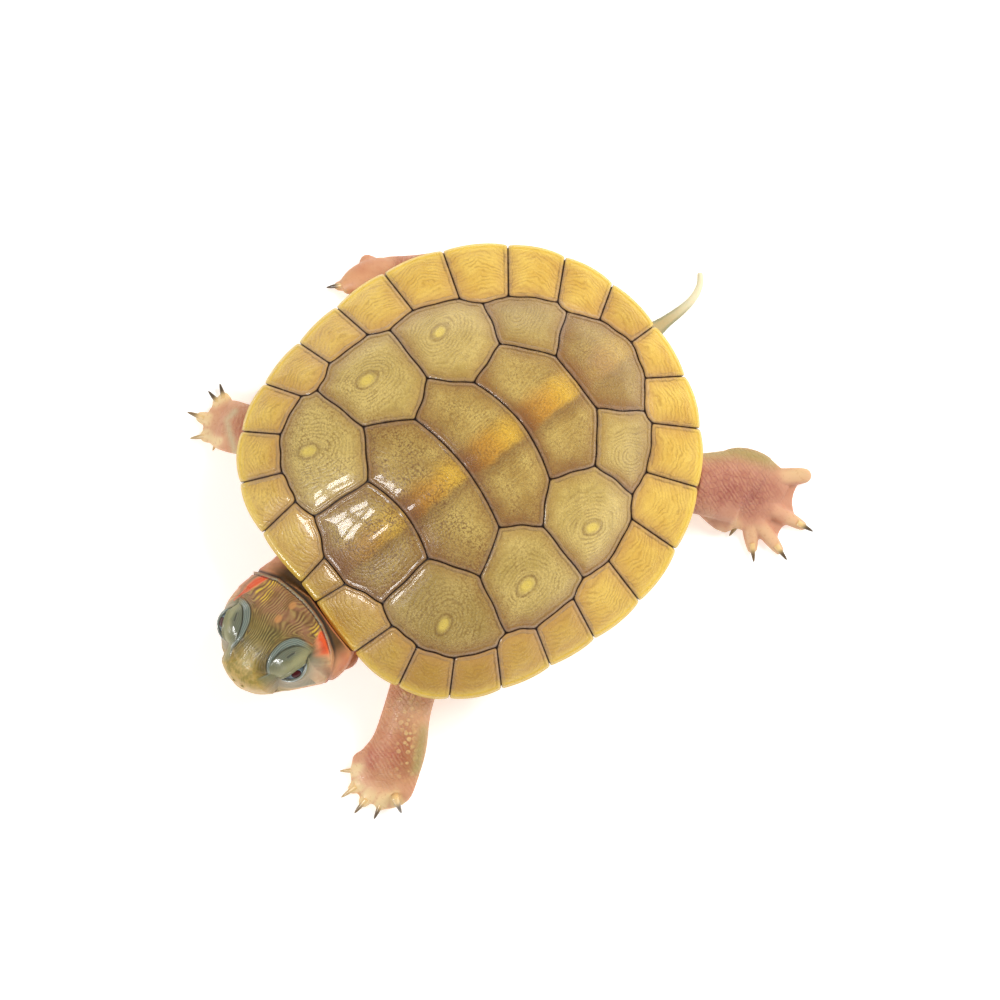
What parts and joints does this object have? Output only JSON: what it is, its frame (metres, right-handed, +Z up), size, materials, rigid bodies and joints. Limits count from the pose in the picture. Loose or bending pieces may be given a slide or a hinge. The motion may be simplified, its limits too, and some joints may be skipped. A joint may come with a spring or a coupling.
{
  "type": "red-eared slider turtle hatchling",
  "caption": "Life-size still model of a pale hatchling slider turtle, standing with its head turned to its left, plated shell, webbed clawed feet and thin tail.",
  "frame": {"origin": "on the floor under the middle of the shell, on the flat underside of the plastron", "axes": "+Z up, -Y towards the head end of the shell, +X towards the turtle's left side"},
  "size_m": [0.0385, 0.0476, 0.015],
  "materials": {
    "vertebral_horn": "glossy olive-tan horn with fine pale rings and an amber band along the keel",
    "costal_horn": "glossy straw-yellow horn with concentric growth rings",
    "marginal_horn": "glossy golden horn with a brighter outer edge",
    "plastron_horn": "smooth yellow horn with faint amber rings",
    "body_skin": "fine-grained pinkish-brown skin",
    "head_skin": "smooth olive skin with thin yellow-green lines",
    "jaw_skin": "smooth pinkish-cream skin",
    "leg_skin": "pink scaly skin with cream spots",
    "foot_skin": "pink and cream scaly skin with horn claws",
    "tail_skin": "olive-cream scaly skin",
    "eye": "wet dark red glossy eye"
  },
  "bodies": {
    "root": {"vertebral_1": "vertebral_horn", "vertebral_2": "vertebral_horn", "vertebral_3": "vertebral_horn", "vertebral_4": "vertebral_horn", "vertebral_5": "vertebral_horn", "nuchal": "marginal_horn", "costal_left_1": "costal_horn", "costal_left_2": "costal_horn", "costal_left_3": "costal_horn", "costal_left_4": "costal_horn", "marginal_left_1": "marginal_horn", "marginal_left_2": "marginal_horn", "marginal_left_3": "marginal_horn", "marginal_left_4": "marginal_horn", "marginal_left_5": "marginal_horn", "marginal_left_6": "marginal_horn", "marginal_left_7": "marginal_horn", "marginal_left_8": "marginal_horn", "marginal_left_9": "marginal_horn", "marginal_left_10": "marginal_horn", "marginal_left_11": "marginal_horn", "marginal_left_12": "marginal_horn", "costal_right_1": "costal_horn", "costal_right_2": "costal_horn", "costal_right_3": "costal_horn", "costal_right_4": "costal_horn", "marginal_right_1": "marginal_horn", "marginal_right_2": "marginal_horn", "marginal_right_3": "marginal_horn", "marginal_right_4": "marginal_horn", "marginal_right_5": "marginal_horn", "marginal_right_6": "marginal_horn", "marginal_right_7": "marginal_horn", "marginal_right_8": "marginal_horn", "marginal_right_9": "marginal_horn", "marginal_right_10": "marginal_horn", "marginal_right_11": "marginal_horn", "marginal_right_12": "marginal_horn", "trunk": "body_skin", "plastron": "plastron_horn", "head": "head_skin", "lower_jaw": "jaw_skin", "eye_left": "eye", "eye_right": "eye", "neck": "body_skin", "leg_front_left": "leg_skin", "foot_front_left": "foot_skin", "leg_front_right": "leg_skin", "foot_front_right": "foot_skin", "leg_hind_left": "leg_skin", "foot_hind_left": "foot_skin", "leg_hind_right": "leg_skin", "foot_hind_right": "foot_skin", "tail": "tail_skin"}
  },
  "joints": []
}
